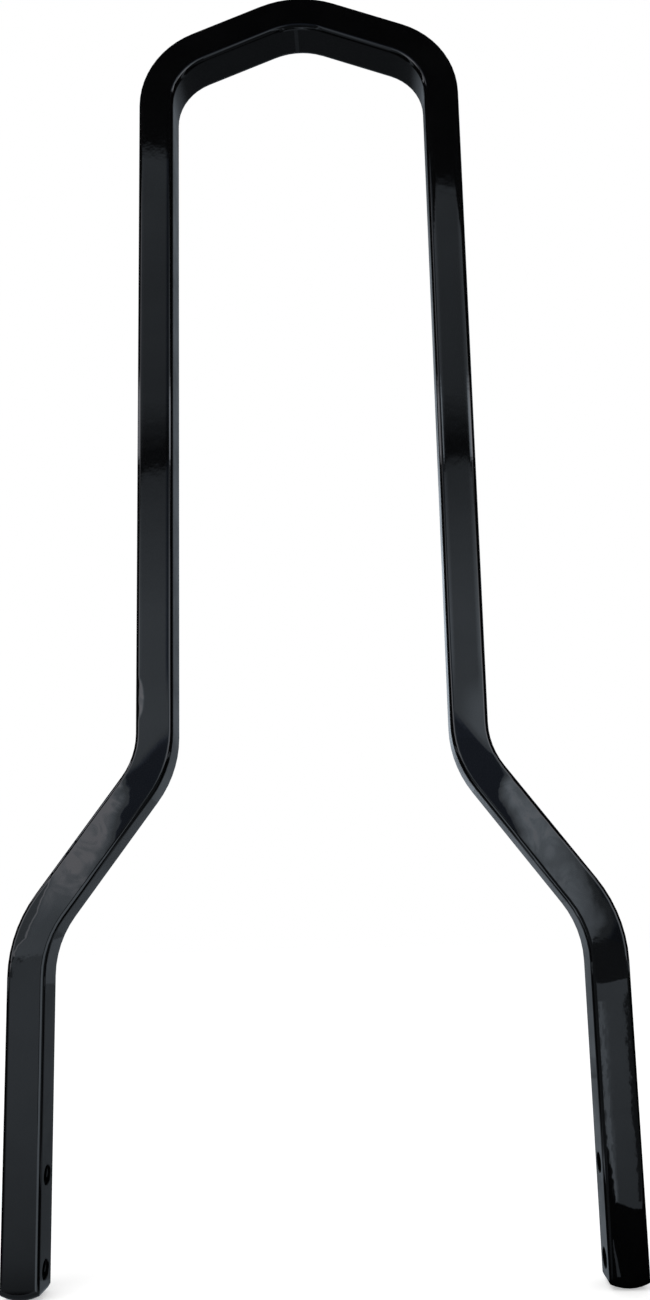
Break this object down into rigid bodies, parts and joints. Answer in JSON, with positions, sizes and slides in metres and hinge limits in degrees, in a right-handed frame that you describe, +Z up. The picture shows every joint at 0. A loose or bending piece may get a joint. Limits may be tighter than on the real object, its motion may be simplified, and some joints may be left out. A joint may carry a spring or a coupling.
{
  "type": "sissy bar",
  "caption": "Tall motorcycle sissy bar bent from square steel bar, with a low peaked top, straight parallel legs, a flared waist and wider-set feet drilled through the sides for bolts.",
  "frame": {"origin": "midway between the feet, level with their lower ends, at mid-depth of the bar", "axes": "+X across the motorcycle to the right as seen from the front face, -Y out of the front face, +Z up from the feet to the peak"},
  "size_m": [0.2104, 0.0132, 0.478],
  "materials": {
    "black_coat": "gloss"
  },
  "bodies": {
    "root": {"bar": "black_coat"}
  },
  "joints": []
}
